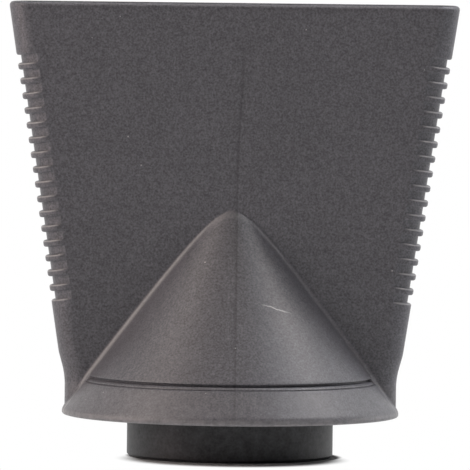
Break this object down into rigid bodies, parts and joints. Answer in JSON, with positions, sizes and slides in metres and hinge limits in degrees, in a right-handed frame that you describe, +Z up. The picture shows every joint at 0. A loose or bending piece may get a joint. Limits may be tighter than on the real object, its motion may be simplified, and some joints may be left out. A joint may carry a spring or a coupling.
{
  "type": "hair dryer concentrator nozzle",
  "caption": "Push-on hair dryer nozzle: a round skirt and cone open into a flat hollow blade with a long air slot, finger ribs down its ends and a black plug under the skirt.",
  "frame": {"origin": "middle of the plug's flat underside", "axes": "+Z up the axis from the plug to the air slot, X along the blade's width, Y through its thickness"},
  "size_m": [0.0966, 0.072, 0.0969],
  "materials": {
    "shell_plastic": "iron-grey moulded nylon with a fine spark-eroded satin",
    "base_plastic": "black moulded nylon, satin",
    "magnet_plating": "nickel plating, satin"
  },
  "bodies": {
    "root": {"nozzle_shell": "shell_plastic", "base_plug": "base_plastic", "magnets": "magnet_plating"}
  },
  "joints": []
}
